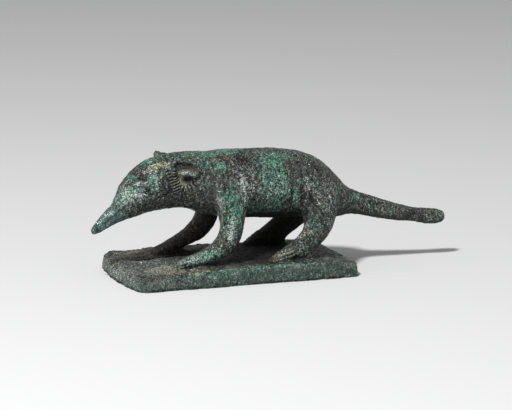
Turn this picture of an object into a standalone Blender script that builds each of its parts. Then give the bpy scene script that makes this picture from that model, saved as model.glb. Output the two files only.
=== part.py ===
"""Shrew figure on its plinth: one solid bronze casting, the animal stalking low on four bent legs.

Metres, +Z up. The origin is the centre of the plinth's underside and the snout points along -X.
The animal is drawn on a canon of 93 units for its whole length, so every station below is a share
of FIGURE_LENGTH. Its heights are counted from the soles, which stand on the plinth's top.
"""

from math import atan2, cos, exp, pi, radians, sin

import bmesh
import bpy
from mathutils import Matrix, Vector, noise

# The figure: its whole length from snout to tail, and the canon that it is drawn on
FIGURE_LENGTH = 0.093
CANON = 93.0
UNIT = FIGURE_LENGTH / CANON

# The legs, in canon units: how far out the feet stand, and how wide a foot is to each side
FOOT_SPREAD = 10.3
FOOT_HALF_WIDTH = 2.8

# The plinth: its thickness under the feet, how far it runs past them, and its bowed front end
PLINTH_THICKNESS = 0.0042
MARGIN_FRONT = 0.01015
MARGIN_REAR = 0.0099
MARGIN_SIDE = 0.0037
FRONT_BOW = 0.0017
CORNER_ROUND = 0.002

# The plinth's worn surface: how far the cast top sinks, and how its edges wander and round off
FRONT_DIP = 0.0009
REAR_DIP = 0.001
FAR_DIP = 0.0006
CHANNEL_DEPTH = 0.0007
TOP_WANDER = 0.0001
EDGE_WANDER = 0.00045
EDGE_ROUND = 0.0005

# How finely the solids are cut into faces
BODY_SIDES = 26
LEG_SIDES = 14
EAR_STEPS = 20
BALL_SIDES = 12
PLINTH_CUTS = (22, 12)

# The wax model's grain in canon units, how often its joins are rubbed, and the faces it keeps
WAX_GRAIN = 0.5
WAX_STROKES = 8
WAX_SHARE = 0.125

# Stations along the spine: x, height above the soles, half height, half width
SPINE = [
    (-34.4, 8.2, 1.25, 1.25),
    (-33.0, 9.35, 1.6, 1.6),
    (-31.5, 10.5, 1.95, 1.95),
    (-29.9, 11.6, 2.25, 2.2),
    (-28.1, 12.7, 2.8, 2.7),
    (-26.3, 14.15, 3.85, 3.6),
    (-24.3, 15.85, 4.95, 4.5),
    (-21.2, 17.8, 6.15, 5.4),
    (-17.6, 19.05, 6.6, 6.1),
    (-13.6, 19.5, 6.8, 6.5),
    (-9.2, 19.15, 7.2, 7.1),
    (-6.6, 18.45, 7.6, 7.7),
    (-2.5, 18.1, 8.3, 8.3),
    (4.7, 17.6, 8.5, 8.6),
    (11.0, 17.25, 8.7, 8.7),
    (16.2, 16.7, 8.35, 8.6),
    (20.4, 15.4, 7.55, 7.9),
    (24.6, 13.35, 6.0, 6.3),
    (28.2, 11.85, 4.45, 4.6),
    (31.2, 11.3, 3.2, 3.3),
    (35.2, 10.2, 2.85, 2.8),
    (39.6, 8.9, 2.55, 2.5),
    (44.4, 7.65, 2.25, 2.2),
    (48.4, 6.9, 1.9, 2.0),
    (52.4, 6.2, 2.2, 2.2),
    (55.2, 5.95, 2.0, 2.0),
]

# Stations down a foreleg, shoulder to toes: x, share of the foot's spread, height above the soles,
# half thickness, share of the foot's half width
FORELEG = [
    (-0.8, 0.43, 19.4, 4.6, 1.07),
    (-1.7, 0.64, 15.4, 4.5, 1.18),
    (-2.3, 0.8, 12.2, 3.8, 1.11),
    (-2.6, 0.9, 9.4, 3.05, 1.0),
    (-3.3, 0.95, 7.0, 3.05, 0.97),
    (-5.3, 0.99, 4.4, 2.7, 0.97),
    (-8.4, 1.0, 2.75, 2.0, 0.97),
    (-12.0, 1.0, 1.75, 1.5, 0.98),
    (-15.4, 1.0, 1.05, 1.2, 1.0),
    (-17.2, 1.0, 0.55, 0.85, 0.8),
]

# The right forefoot sinks into the slab from its instep on, by so much for each unit of length
RIGHT_INSTEP_X = -8.0
RIGHT_SINK = 0.13

# The right hind leg stands a little further back, and is that much thicker
RIGHT_HAUNCH_BACK = 0.6
RIGHT_HAUNCH_SHARE = 1.13

# Stations down a hind leg, haunch to toes, and the ball of the heel behind its foot
HINDLEG = [
    (20.4, 0.33, 16.8, 5.6, 1.07),
    (20.6, 0.56, 13.4, 5.5, 1.25),
    (20.2, 0.78, 10.4, 4.7, 1.21),
    (19.4, 0.9, 7.6, 3.8, 1.07),
    (17.6, 0.97, 5.1, 3.0, 1.0),
    (14.6, 1.0, 3.0, 2.4, 1.0),
    (11.2, 1.0, 1.6, 1.6, 1.0),
    (8.6, 1.0, 0.9, 1.1, 0.9),
    (7.4, 1.0, 0.5, 0.75, 0.68),
]
HEEL = (15.6, FOOT_SPREAD, 1.3)
HEEL_RADII = (2.7, 0.9 * FOOT_HALF_WIDTH, 2.2)

# The ear: a flared cup on the side of the head, its rim drawn up to a tip in front
EAR_CENTRE = (-13.45, 22.35)
EAR_RIM_Y = 7.2
EAR_RADII = (3.2, 2.45)
EAR_LEAN = 0.23
EAR_TIP = 0.72
EAR_TIP_TURN = radians(131)
EAR_TIP_SPREAD = radians(20)

# The cup's turned profile: share of the rim's radius, and height over the rim
EAR_PROFILE = [
    (0.0, -5.2),
    (0.66, -4.9),
    (0.88, -3.2),
    (0.98, -1.5),
    (1.02, -0.3),
    (0.98, 0.1),
    (0.89, -0.15),
    (0.81, -0.9),
    (0.54, -1.65),
    (0.0, -1.9),
]

# The fold of skin that lies across the cup, from the rim's centre: aft, into the cup, and down
FOLD_OFFSET = (0.1, 1.6, 0.3)
FOLD_RADII = (2.8, 1.1, 0.6)

# The eye: an almond set flush in the cheek
EYE_CENTRE = (-23.05, 4.15, 18.25)
EYE_RADII = (1.55, 0.85, 0.85)
EYE_PITCH = radians(24)

# Lines cut in the wax on both sides, each drawn on the side view: x, and height above the soles.
# The girdle's two lines go round the trunk, and the others stay on its flanks.
GROOVE_WIDTH = 0.5
GROOVE_DEPTH = 0.34
BELLY_HEIGHT = 10.0
GIRDLE = [(13.3, 25.0), (13.5, 21.0), (13.1, 16.8), (13.4, 11.0)]
GIRDLE_GAP = 2.4
COLLAR = [(-2.7, 24.8), (-3.0, 21.4), (-3.3, 17.2)]
THIGH = [(16.6, 15.4), (18.4, 13.3), (19.8, 11.2), (20.9, 9.2)]
MOUTH = [(-33.2, 9.5), (-31.2, 11.1), (-29.0, 12.9), (-26.4, 14.7)]

# Three cuts part the toes of each foot, so far apart, and run back from their tips
TOE_PITCH = 1.35
TOE_REACH = 4.4
TOE_DEPTH = 0.42
TOE_HEIGHT = 2.6

# The plinth reaches from the toes to the heels and past them, and as wide as the feet stand
TOE_X = FORELEG[-1][0] - FORELEG[-1][3]
HEEL_X = HEEL[0] + HEEL_RADII[0]
PLINTH_LENGTH = (HEEL_X - TOE_X) * UNIT + MARGIN_FRONT + MARGIN_REAR
PLINTH_WIDTH = 2 * ((FOOT_SPREAD + FOOT_HALF_WIDTH) * UNIT + MARGIN_SIDE)
FIGURE_SHIFT = -PLINTH_LENGTH / 2 + MARGIN_FRONT - TOE_X * UNIT


def clear_scene():
    """Removes whatever the file opened with."""
    for old in list(bpy.data.objects):
        bpy.data.objects.remove(old)


def patina_bronze():
    """Bronze under a green and black patina."""
    material = bpy.data.materials.new("patinated bronze")
    material.use_nodes = True
    shader = material.node_tree.nodes["Principled BSDF"]
    shader.inputs["Base Color"].default_value = (0.075, 0.125, 0.095, 1.0)
    shader.inputs["Roughness"].default_value = 0.5
    shader.inputs["Metallic"].default_value = 0.35
    return material


def link_mesh(name, bm, collection):
    """Makes an object of a bmesh and frees it."""
    mesh = bpy.data.meshes.new(name)
    bmesh.ops.recalc_face_normals(bm, faces=bm.faces)
    bm.to_mesh(mesh)
    bm.free()
    made = bpy.data.objects.new(name, mesh)
    collection.objects.link(made)
    return made


def between(stations, steps):
    """A Catmull-Rom curve through the stations, with so many steps in each span."""
    padded = [stations[0], *stations, stations[-1]]
    points = []
    for before, start, end, after in zip(padded, padded[1:], padded[2:], padded[3:]):
        for step in range(steps):
            t = step / steps
            points.append(
                [
                    0.5 * (2 * b + (c - a) * t + (2 * a - 5 * b + 4 * c - d) * t**2
                           + (3 * b - a - 3 * c + d) * t**3)
                    for a, b, c, d in zip(before, start, end, after)
                ]
            )
    points.append(list(stations[-1]))
    return points


def loft(name, rows, sides, steps, collection):
    """A closed limb of oval sections square to its path, with a round end at each side.

    A row is x, y, z, half height, half width, in canon units above the soles.
    """
    rows = between(rows, steps)
    centres = [Vector(row[:3]) for row in rows]
    last = len(rows) - 1
    sections = []
    for i, row in enumerate(rows):
        along = (centres[min(i + 1, last)] - centres[max(i - 1, 0)]).normalized()
        sections.append((centres[i], along, row[3], row[4]))

    domes = (radians(32), radians(62), radians(84))
    first, final = sections[0], sections[-1]
    start = [(c - a * h * sin(t), a, h * cos(t), w * cos(t))
             for c, a, h, w in [first] for t in reversed(domes)]
    end = [(c + a * h * sin(t), a, h * cos(t), w * cos(t))
           for c, a, h, w in [final] for t in domes]

    bm = bmesh.new()
    rings = []
    for centre, along, height, width in start + sections + end:
        side = (Vector((0, 1, 0)) - along * along.y).normalized()
        rise = side.cross(along)
        turns = [2 * pi * k / sides for k in range(sides)]
        rings.append([bm.verts.new(centre + side * width * cos(t) + rise * height * sin(t))
                      for t in turns])
    for low, high in zip(rings, rings[1:]):
        for k in range(sides):
            nxt = (k + 1) % sides
            bm.faces.new((low[k], low[nxt], high[nxt], high[k]))
    for ring in (rings[0], rings[-1]):
        bmesh.ops.triangle_fill(bm, use_beauty=True, edges=ring_edges(ring))
    return link_mesh(name, bm, collection)


def ring_edges(ring):
    """The edges of a closed ring of vertices."""
    members = set(ring)
    return [e for v in ring for e in v.link_edges if set(e.verts) <= members and e.verts[0] == v]


def mirrored(piece):
    """Gives a left-hand piece its right-hand twin across the animal's midplane."""
    mirror = piece.modifiers.new("other side", "MIRROR")
    mirror.use_axis = (False, True, False)
    mirror.use_mirror_merge = False
    return piece


def make_torso(collection):
    """Head, trunk and tail in one run from the snout's tip to the tail's round end."""
    rows = [(x, 0.0, z, height, width) for x, z, height, width in SPINE]
    return loft("torso", rows, BODY_SIDES, 2, collection)


def leg_rows(stations, side):
    """A leg's stations as rows for the loft, on the left with side -1 or the right with 1."""
    return [(x, side * out * FOOT_SPREAD, z, thick, width * FOOT_HALF_WIDTH)
            for x, out, z, thick, width in stations]


def make_legs(collection):
    """Four legs, each leg one limb from deep in the trunk down to its toes."""
    sunk = [(x, out, z - RIGHT_SINK * max(RIGHT_INSTEP_X - x, 0), thick, width)
            for x, out, z, thick, width in FORELEG]
    stout = [(x + RIGHT_HAUNCH_BACK, out, z, thick * RIGHT_HAUNCH_SHARE, width)
             for x, out, z, thick, width in HINDLEG]
    return [
        loft("left foreleg", leg_rows(FORELEG, -1), LEG_SIDES, 2, collection),
        loft("right foreleg", leg_rows(sunk, 1), LEG_SIDES, 2, collection),
        loft("left hind leg", leg_rows(HINDLEG, -1), LEG_SIDES, 2, collection),
        loft("right hind leg", leg_rows(stout, 1), LEG_SIDES, 2, collection),
    ]


def left_ball(name, centre, radii, collection, pitch=0.0):
    """A stretched ball on the left side, tipped about the animal's cross axis, and its twin."""
    bm = bmesh.new()
    bmesh.ops.create_uvsphere(bm, u_segments=BALL_SIDES, v_segments=BALL_SIDES * 2 // 3,
                              radius=1.0)
    x, y, z = centre
    place = Matrix.Translation((x, -y, z)) @ Matrix.Rotation(pitch, 4, "Y")
    bmesh.ops.transform(bm, matrix=place @ Matrix.Diagonal((*radii, 1.0)), verts=bm.verts)
    return mirrored(link_mesh(name, bm, collection))


def make_ears(collection):
    """Two flared cup ears: a turned profile laid on the head's side and drawn out to its tip."""
    bm = bmesh.new()
    profile = [bm.verts.new((radius, 0.0, rise)) for radius, rise in EAR_PROFILE]
    for start, end in zip(profile, profile[1:]):
        bm.edges.new((start, end))
    bmesh.ops.spin(bm, geom=bm.verts[:] + bm.edges[:], cent=(0, 0, 0), axis=(0, 0, 1),
                   angle=2 * pi, steps=EAR_STEPS, use_duplicate=False)
    bmesh.ops.remove_doubles(bm, verts=bm.verts, dist=0.001)
    x, z = EAR_CENTRE
    wide, tall = EAR_RADII
    for v in bm.verts:
        off_tip = (atan2(v.co.y, v.co.x) - EAR_TIP_TURN) / EAR_TIP_SPREAD
        draw = 1 + EAR_TIP * exp(-off_tip * off_tip)
        forward, up = v.co.x * wide * draw, v.co.y * tall * draw
        v.co = (x + forward, -EAR_RIM_Y - v.co.z - EAR_LEAN * up, z + up)
    return mirrored(link_mesh("ears", bm, collection))


def step_up(distance, softness):
    """Rises smoothly from 0 to 1 as the distance passes nought."""
    return 1 / (1 + exp(-distance / softness))


def sunk_top(along, across):
    """How far the plinth's top lies below the soles.

    The place is given from -1 at the front end to 1 at the rear, and from -1 at the left to 1.
    """
    front = FRONT_DIP * (0.7 - 0.3 * across) * step_up(-0.58 - along, 0.07)
    rear = REAR_DIP * step_up(along - 0.86, 0.05)
    far = FAR_DIP * step_up(across - 0.82, 0.05) * step_up(along - 0.05, 0.1)
    beside = (across - 0.34) / 0.13
    reach = step_up(along + 0.8, 0.03) * step_up(-0.28 - along, 0.05)
    return front + rear + far + CHANNEL_DEPTH * exp(-beside * beside) * reach


def cut_across(bm, axis, span, count):
    """Cuts a slab into so many equal strips along an axis."""
    normal = Vector((0, 0, 0))
    normal[axis] = 1
    for k in range(1, count):
        bmesh.ops.bisect_plane(bm, geom=bm.verts[:] + bm.edges[:] + bm.faces[:],
                               plane_co=normal * span * (k / count - 0.5), plane_no=normal,
                               dist=1e-7)


def make_plinth(collection):
    """The low slab, cast with the feet: level below, uneven above, its edges worn."""
    bm = bmesh.new()
    bmesh.ops.create_cube(bm, size=1.0)
    bmesh.ops.scale(bm, vec=(PLINTH_LENGTH, PLINTH_WIDTH, PLINTH_THICKNESS), verts=bm.verts)
    bmesh.ops.translate(bm, vec=(0, 0, PLINTH_THICKNESS / 2), verts=bm.verts)
    upright = [e for e in bm.edges if abs(e.verts[0].co.z - e.verts[1].co.z) > PLINTH_THICKNESS / 2]
    bmesh.ops.bevel(bm, geom=upright, offset=CORNER_ROUND, segments=2, profile=0.5,
                    affect="EDGES")
    cut_across(bm, 0, PLINTH_LENGTH, PLINTH_CUTS[0])
    cut_across(bm, 1, PLINTH_WIDTH, PLINTH_CUTS[1])

    rim = 1 - 1 / PLINTH_CUTS[1]
    bumps, ripples = 6 / PLINTH_WIDTH, 9 / PLINTH_WIDTH
    for v in bm.verts:
        along, across = v.co.x * 2 / PLINTH_LENGTH, v.co.y * 2 / PLINTH_WIDTH
        on_top = v.co.z > PLINTH_THICKNESS / 2
        if on_top:
            v.co.z += TOP_WANDER * noise.noise(v.co * ripples) - sunk_top(along, across)
        if max(abs(along), abs(across)) > rim:
            outward = Vector((along, across, 0)).normalized()
            place = Vector((v.co.x, v.co.y, 0)) * bumps
            v.co -= outward * EDGE_WANDER * (0.6 + noise.noise(place))
            v.co -= outward * (EDGE_ROUND if on_top else 0)
        if along < 0:
            v.co.x += along * FRONT_BOW * (1 - across * across)
    return link_mesh("plinth", bm, collection)


def stand_on_plinth(pieces):
    """Takes the pieces from canon units to metres, with the soles on the plinth's top."""
    for piece in pieces:
        piece.data.transform(Matrix.Diagonal((UNIT, UNIT, UNIT, 1.0)))
        piece.data.transform(Matrix.Translation((FIGURE_SHIFT, 0, PLINTH_THICKNESS)))


def fuse(casting, pieces):
    """Casts the pieces into one solid, by a Boolean union with each in turn."""
    bpy.context.view_layer.objects.active = casting
    for piece in pieces:
        union = casting.modifiers.new(piece.name, "BOOLEAN")
        union.operation = "UNION"
        union.solver = "EXACT"
        union.object = piece
        bpy.ops.object.modifier_apply(modifier=union.name)
        bpy.data.objects.remove(piece)


def off_line(x, z, line):
    """How far a point of the side view lies from a line of several points."""
    here, nearest = Vector((x, z)), 1e9
    for start, end in zip(line, line[1:]):
        start, run = Vector(start), Vector(end) - Vector(start)
        share = min(1, max(0, (here - start).dot(run) / run.dot(run)))
        nearest = min(nearest, (here - start - run * share).length)
    return nearest


def groove(distance):
    """The depth of a round cut at some distance from its middle, as a share of the whole."""
    return exp(-(distance / GROOVE_WIDTH) ** 2)


def toe_cut(x, y, z, up):
    """How deep the cuts between the toes are at a point of a foot's upper side."""
    depth = 0
    for tip in (FORELEG[-1][0], HINDLEG[-1][0]):
        if z > TOE_HEIGHT or up < 0.1 or abs(x - tip) > 2 * TOE_REACH:
            continue
        fade = step_up(tip + TOE_REACH - x, 0.4)
        for k in (-1, 0, 1):
            depth = max(depth, fade * groove(abs(y) - FOOT_SPREAD - k * TOE_PITCH))
    return depth * TOE_DEPTH


def carve(casting):
    """Cuts the girdle, collar, thighs, mouth and toes in the wax, alike on both sides."""
    second = [(x + GIRDLE_GAP, z) for x, z in GIRDLE]
    bm = bmesh.new()
    bm.from_mesh(casting.data)
    bm.normal_update()
    cuts = []
    for v in bm.verts:
        x, y, z = v.co / UNIT
        z -= PLINTH_THICKNESS / UNIT
        flank = min(1, max(0, 2 * v.normal.y * (1 if y > 0 else -1)))
        depth = toe_cut(x, y, z, v.normal.z)
        if z > BELLY_HEIGHT:
            for line in (GIRDLE, second):
                depth = max(depth, GROOVE_DEPTH * groove(off_line(x, z, line)))
        for line in (COLLAR, THIGH, MOUTH):
            depth = max(depth, GROOVE_DEPTH * flank * groove(off_line(x, z, line)))
        cuts.append(v.normal * depth * UNIT)
    for v, move in zip(bm.verts, cuts):
        v.co -= move
    bm.to_mesh(casting.data)
    bm.free()


def soften_joins(casting):
    """Works the limbs' joins to a smooth flow, as in a wax model, carves it and thins its faces."""
    grain = casting.modifiers.new("wax", "REMESH")
    grain.mode = "VOXEL"
    grain.voxel_size = WAX_GRAIN * UNIT
    rub = casting.modifiers.new("rubbed joins", "SMOOTH")
    rub.factor = 0.5
    rub.iterations = WAX_STROKES
    thin = casting.modifiers.new("fewer faces", "DECIMATE")
    thin.ratio = WAX_SHARE
    bpy.ops.object.modifier_apply(modifier=grain.name)
    bpy.ops.object.modifier_apply(modifier=rub.name)
    carve(casting)
    bpy.ops.object.modifier_apply(modifier=thin.name)


def main():
    clear_scene()
    collection = bpy.data.collections.new("shrew figure")
    bpy.context.scene.collection.children.link(collection)

    casting = make_torso(collection)
    limbs = [*make_legs(collection), left_ball("heels", HEEL, HEEL_RADII, collection)]
    ear_x, ear_z = EAR_CENTRE
    aft, deep, down = FOLD_OFFSET
    fold = (ear_x + aft, EAR_RIM_Y - deep, ear_z - down)
    details = [
        make_ears(collection),
        left_ball("ear folds", fold, FOLD_RADII, collection),
        left_ball("eyes", EYE_CENTRE, EYE_RADII, collection, pitch=-EYE_PITCH),
    ]
    stand_on_plinth([casting, *limbs, *details])

    fuse(casting, limbs)
    soften_joins(casting)
    fuse(casting, [*details, make_plinth(collection)])

    casting.name = "shrew_figure"
    casting.data.materials.append(patina_bronze())
    casting.data.shade_smooth()
    casting.data.set_sharp_from_angle(angle=radians(40))


main()
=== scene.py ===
"""A cast bronze shrew on its plinth, dressed and lit on a pale studio floor."""

from math import cos, radians, sin
from random import Random
import bpy
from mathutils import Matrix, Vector


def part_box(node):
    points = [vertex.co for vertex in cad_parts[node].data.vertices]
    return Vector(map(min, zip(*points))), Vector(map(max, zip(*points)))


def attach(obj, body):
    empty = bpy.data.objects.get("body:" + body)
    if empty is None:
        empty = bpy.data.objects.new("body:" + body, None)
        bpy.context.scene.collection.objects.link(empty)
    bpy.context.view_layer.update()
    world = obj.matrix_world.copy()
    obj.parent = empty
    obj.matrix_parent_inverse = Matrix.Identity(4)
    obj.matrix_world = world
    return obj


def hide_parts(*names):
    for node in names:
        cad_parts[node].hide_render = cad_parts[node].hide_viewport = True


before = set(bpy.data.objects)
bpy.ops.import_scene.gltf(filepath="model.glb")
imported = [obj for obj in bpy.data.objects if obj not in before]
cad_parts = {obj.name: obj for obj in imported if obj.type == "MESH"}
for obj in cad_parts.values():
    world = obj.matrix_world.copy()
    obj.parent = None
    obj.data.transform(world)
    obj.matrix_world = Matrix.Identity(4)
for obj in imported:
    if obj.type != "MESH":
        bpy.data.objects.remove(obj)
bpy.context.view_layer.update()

MM = 0.001
CAMERA_AZIMUTH = radians(-19.712)
CAMERA_ELEVATION = radians(10.964)
CAMERA_DISTANCE = 700 * MM
CAMERA_NEAREST = 10 * MM
CAMERA_FARTHEST = 50.0
AIM_RIGHT = 6.411 * MM
AIM_UP = 16.251 * MM
SENSOR_WIDTH = 36.0
LENS = 201.2

camera_back = Vector((
    sin(CAMERA_AZIMUTH) * cos(CAMERA_ELEVATION),
    -cos(CAMERA_AZIMUTH) * cos(CAMERA_ELEVATION),
    sin(CAMERA_ELEVATION),
))
camera_right = Vector((cos(CAMERA_AZIMUTH), sin(CAMERA_AZIMUTH), 0))
camera_up = camera_back.cross(camera_right)
camera_data = bpy.data.cameras.new("studio_camera")
camera_data.sensor_width = SENSOR_WIDTH
camera_data.lens = LENS
camera_data.clip_start = CAMERA_NEAREST
camera_data.clip_end = CAMERA_FARTHEST
camera = bpy.data.objects.new("studio_camera", camera_data)
bpy.context.scene.collection.objects.link(camera)
camera.location = camera_right * AIM_RIGHT + camera_up * AIM_UP + camera_back * CAMERA_DISTANCE
camera.rotation_euler = (-camera_back).to_track_quat("-Z", "Y").to_euler()
bpy.context.scene.camera = camera
bpy.context.scene.view_settings.view_transform = "Standard"

# The studio: a wide sheet of pale paper on a table, one soft lamp near the object at the front
# left, and the weak light of the white room. The near lamp lets the far paper fall away to grey.
FLOOR_SIZE = 12.0
FLOOR_COLOR = (0.675, 0.675, 0.68, 1)
FLOOR_ROUGHNESS = 0.9
FLOOR_SHINE = 0.1
LAMP_TURN = radians(25)
LAMP_HEIGHT = radians(53.5)
LAMP_DISTANCE = 0.84
LAMP_SIZE = 0.108
LAMP_POWER = 7.6
ROOM_COLOR = (1, 1, 1, 1)
ROOM_LIGHT = 0.34

bpy.ops.object.select_all(action="DESELECT")
bpy.ops.mesh.primitive_plane_add(size=FLOOR_SIZE, location=(0, 0, 0))
floor = bpy.context.object
floor.name = "paper_floor"
paper = bpy.data.materials.new("pale_paper")
paper.use_nodes = True
paper_shader = paper.node_tree.nodes["Principled BSDF"]
paper_shader.inputs["Base Color"].default_value = FLOOR_COLOR
paper_shader.inputs["Roughness"].default_value = FLOOR_ROUGHNESS
paper_shader.inputs["Specular IOR Level"].default_value = FLOOR_SHINE
floor.data.materials.append(paper)

lamp_bearing = CAMERA_AZIMUTH - LAMP_TURN
lamp_direction = Vector((
    sin(lamp_bearing) * cos(LAMP_HEIGHT),
    -cos(lamp_bearing) * cos(LAMP_HEIGHT),
    sin(LAMP_HEIGHT),
))
lamp_data = bpy.data.lights.new("soft_lamp", "AREA")
lamp_data.shape = "DISK"
lamp_data.size = LAMP_SIZE
lamp_data.energy = LAMP_POWER
lamp = bpy.data.objects.new("soft_lamp", lamp_data)
bpy.context.scene.collection.objects.link(lamp)
lamp.location = lamp_direction * LAMP_DISTANCE
lamp.rotation_euler = (-lamp_direction).to_track_quat("-Z", "Y").to_euler()

room = bpy.data.worlds.new("white_room")
room.use_nodes = True
room.node_tree.nodes["Background"].inputs["Color"].default_value = ROOM_COLOR
room.node_tree.nodes["Background"].inputs["Strength"].default_value = ROOM_LIGHT
bpy.context.scene.world = room

# The casting: shrew and plinth are one solid piece of bronze, cast by lost wax. Eyes, ears, fur
# and toes were cut in the wax, and long burial left a green and brown crust over the metal.
# Its sizes are in millimetres: x runs from the snout to the tail, z is up, and y is the far side.
import numpy as np
from mathutils import noise
from mathutils.bvhtree import BVHTree
from mathutils.kdtree import KDTree

# The blank: a copy of the solid, closed and given a fine even skin. The animal is rubbed soft but
# for its ears, the places to be carved get finer faces, and the plinth's front edges are worn.
SEAM = 0.001
SKIN_STEP = 0.36
SKIN_EASING = 3
BODY_EASING = 9
CARVED_EASING = 3
EDGE_EASING = 24
EASING_SHARE = 0.5
ANIMAL_FLOOR = 5.2
UNDERSIDE = 0.02
FLAT_WITHIN = radians(4)
EAR_ZONES = [
    ((-18, -20, 23), (-9.4, -5.2, 31)),
    ((-18, 5.2, 23), (-9.4, 20, 31)),
]
CARVED_ZONES = [
    ((-36, -20, 8), (-8, 20, 32)),        # head and ears
    ((-4, -20, 14), (17, -4.5, 30)),      # near flank
    ((-4, 4.5, 14), (17, 20, 30)),        # far flank
    ((6, -20, 2), (18, 20, 7.5)),         # hind feet
    ((-22, -20, 2), (-8, 20, 7.5)),       # forefeet
]
FINE_ZONES = [
    ((-28.5, -20, 18.5), (-9.2, -2.5, 29.5)),
    ((-28.5, 2.5, 18.5), (-9.2, 20, 29.5)),
]
WORN_EDGES = [
    ((-32, -20, 1.2), (-10, -9, 4.6)),
    ((-32, -20, 1.2), (-26, 20, 4.6)),
]

bpy.ops.object.select_all(action="DESELECT")
casting = bpy.data.objects.new("shrew_casting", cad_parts["shrew_figure"].data.copy())
bpy.context.scene.collection.objects.link(casting)
casting.select_set(True)
bpy.context.view_layer.objects.active = casting
bpy.ops.object.mode_set(mode="EDIT")
bpy.ops.mesh.select_all(action="SELECT")
bpy.ops.mesh.remove_doubles(threshold=SEAM * MM)
bpy.ops.mesh.normals_make_consistent(inside=False)
bpy.ops.object.mode_set(mode="OBJECT")

skin = casting.modifiers.new("skin", "REMESH")
skin.mode = "VOXEL"
skin.voxel_size = SKIN_STEP * MM
bpy.ops.object.modifier_apply(modifier=skin.name)
easing = casting.modifiers.new("easing", "SMOOTH")
easing.factor = EASING_SHARE
easing.iterations = SKIN_EASING
bpy.ops.object.modifier_apply(modifier=easing.name)


def read_vectors(items, name):
    """One row of three numbers for each point or face of a mesh."""
    values = np.empty(len(items) * 3)
    items.foreach_get(name, values)
    return values.reshape(-1, 3)


def select_faces(keep):
    """Selects the faces whose centres, in millimetres, pass the test, and opens edit mode."""
    bpy.ops.object.mode_set(mode="EDIT")
    bpy.ops.mesh.select_mode(type="FACE")
    bpy.ops.mesh.select_all(action="DESELECT")
    bpy.ops.object.mode_set(mode="OBJECT")
    faces = casting.data.polygons
    faces.foreach_set("select", keep(read_vectors(faces, "center") / MM))
    bpy.ops.object.mode_set(mode="EDIT")


def inside(zones):
    """Makes a test for points that lie in one of the boxes."""
    def test(points):
        found = np.zeros(len(points), bool)
        for low, high in zones:
            found |= ((points > low) & (points < high)).all(1)
        return found
    return test


select_faces(lambda points: (points[:, 2] > ANIMAL_FLOOR) & ~inside(EAR_ZONES)(points))
bpy.ops.mesh.vertices_smooth(factor=EASING_SHARE, repeat=BODY_EASING)
bpy.ops.object.mode_set(mode="OBJECT")
for zones in (CARVED_ZONES, FINE_ZONES):
    select_faces(inside(zones))
    bpy.ops.mesh.subdivide(number_cuts=1, smoothness=0)
    bpy.ops.mesh.vertices_smooth(factor=EASING_SHARE, repeat=CARVED_EASING)
    bpy.ops.object.mode_set(mode="OBJECT")
select_faces(inside(WORN_EDGES))
bpy.ops.mesh.vertices_smooth(factor=EASING_SHARE, repeat=EDGE_EASING)
bpy.ops.object.mode_set(mode="OBJECT")
select_faces(lambda points: points[:, 2] < UNDERSIDE)
bpy.ops.mesh.dissolve_limited(angle_limit=FLAT_WITHIN)
bpy.ops.object.mode_set(mode="OBJECT")
bpy.ops.object.shade_smooth()

mesh = casting.data
count = len(mesh.vertices)
place = read_vectors(mesh.vertices, "co") / MM
outward = read_vectors(mesh.vertices, "normal")
surface = BVHTree.FromPolygons(
    [Vector(point) for point in place.tolist()],
    [tuple(face.vertices) for face in mesh.polygons],
)
finder = KDTree(count)
for index, point in enumerate(place.tolist()):
    finder.insert(point, index)
finder.balance()
raised = np.zeros(count)
inked = np.zeros(count)

# Carved lines. Each is drawn on the side view in millimetres (along, up), laid on the nearer
# flank and its mirror on the farther one, and cut with a rounded tool that tapers at its ends.
TOOL_STEP = 0.12
TOOL_REACH = 2.6
BANK_PLACE = 1.6
BANK_SHARPNESS = 3
RIDGE_SHINE = 0.5
DENT_REACH = 2.4
OUTSIDE = 30


def meet_flank(x, z, side):
    """The point of the surface that is met from that side, or None."""
    return surface.ray_cast(Vector((x, OUTSIDE * side, z)), Vector((0, -side, 0)))[0]


def lay_on_flank(points, side):
    """Lays a side view line on the surface as it is met from that side, at even small steps."""
    laid = []
    for (x0, z0), (x1, z1) in zip(points, points[1:]):
        steps = max(2, int(((x1 - x0) ** 2 + (z1 - z0) ** 2) ** 0.5 / TOOL_STEP))
        for number in range(steps):
            share = number / steps
            hit = meet_flank(x0 + (x1 - x0) * share, z0 + (z1 - z0) * share, side)
            if hit is not None:
                laid.append(hit)
    return laid


def cut(points, width, depth, bank=0.25, taper=0.25):
    """Cuts a groove of that half width and depth, or raises a ridge if the depth is negative.

    The bank is the share of the depth that is thrown up beside the groove, and the taper is the
    share of the line's length over which the tool goes in or comes out.
    """
    for side in (-1, 1):
        laid = lay_on_flank(points, side)
        nearest = {}
        for number, point in enumerate(laid):
            along = (number + 0.5) / len(laid)
            fade = min(1, along / taper, (1 - along) / taper)
            for _, index, distance in finder.find_range(point, width * TOOL_REACH):
                if index not in nearest or distance < nearest[index][0]:
                    nearest[index] = (distance, fade)
        for index, (distance, fade) in nearest.items():
            ratio = distance / width
            groove = np.exp(-ratio * ratio)
            banks = np.exp(-((ratio - BANK_PLACE) ** 2) * BANK_SHARPNESS)
            raised[index] -= depth * fade * (groove - bank * banks)
            inked[index] += fade * groove * (1 if depth > 0 else -RIDGE_SHINE)


def dent(centre, radii, depth, turn=0):
    """Presses a soft oval hollow in the flank, or raises a swelling if the depth is negative."""
    for side in (-1, 1):
        hit = meet_flank(*centre, side)
        if hit is None:
            continue
        for _, index, _ in finder.find_range(hit, max(radii) * DENT_REACH):
            dx = place[index, 0] - hit.x
            dz = place[index, 2] - hit.z
            along = (dx * cos(turn) + dz * sin(turn)) / radii[0]
            across = (dz * cos(turn) - dx * sin(turn)) / radii[1]
            raised[index] -= depth * np.exp(-(along * along + across * across))


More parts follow.
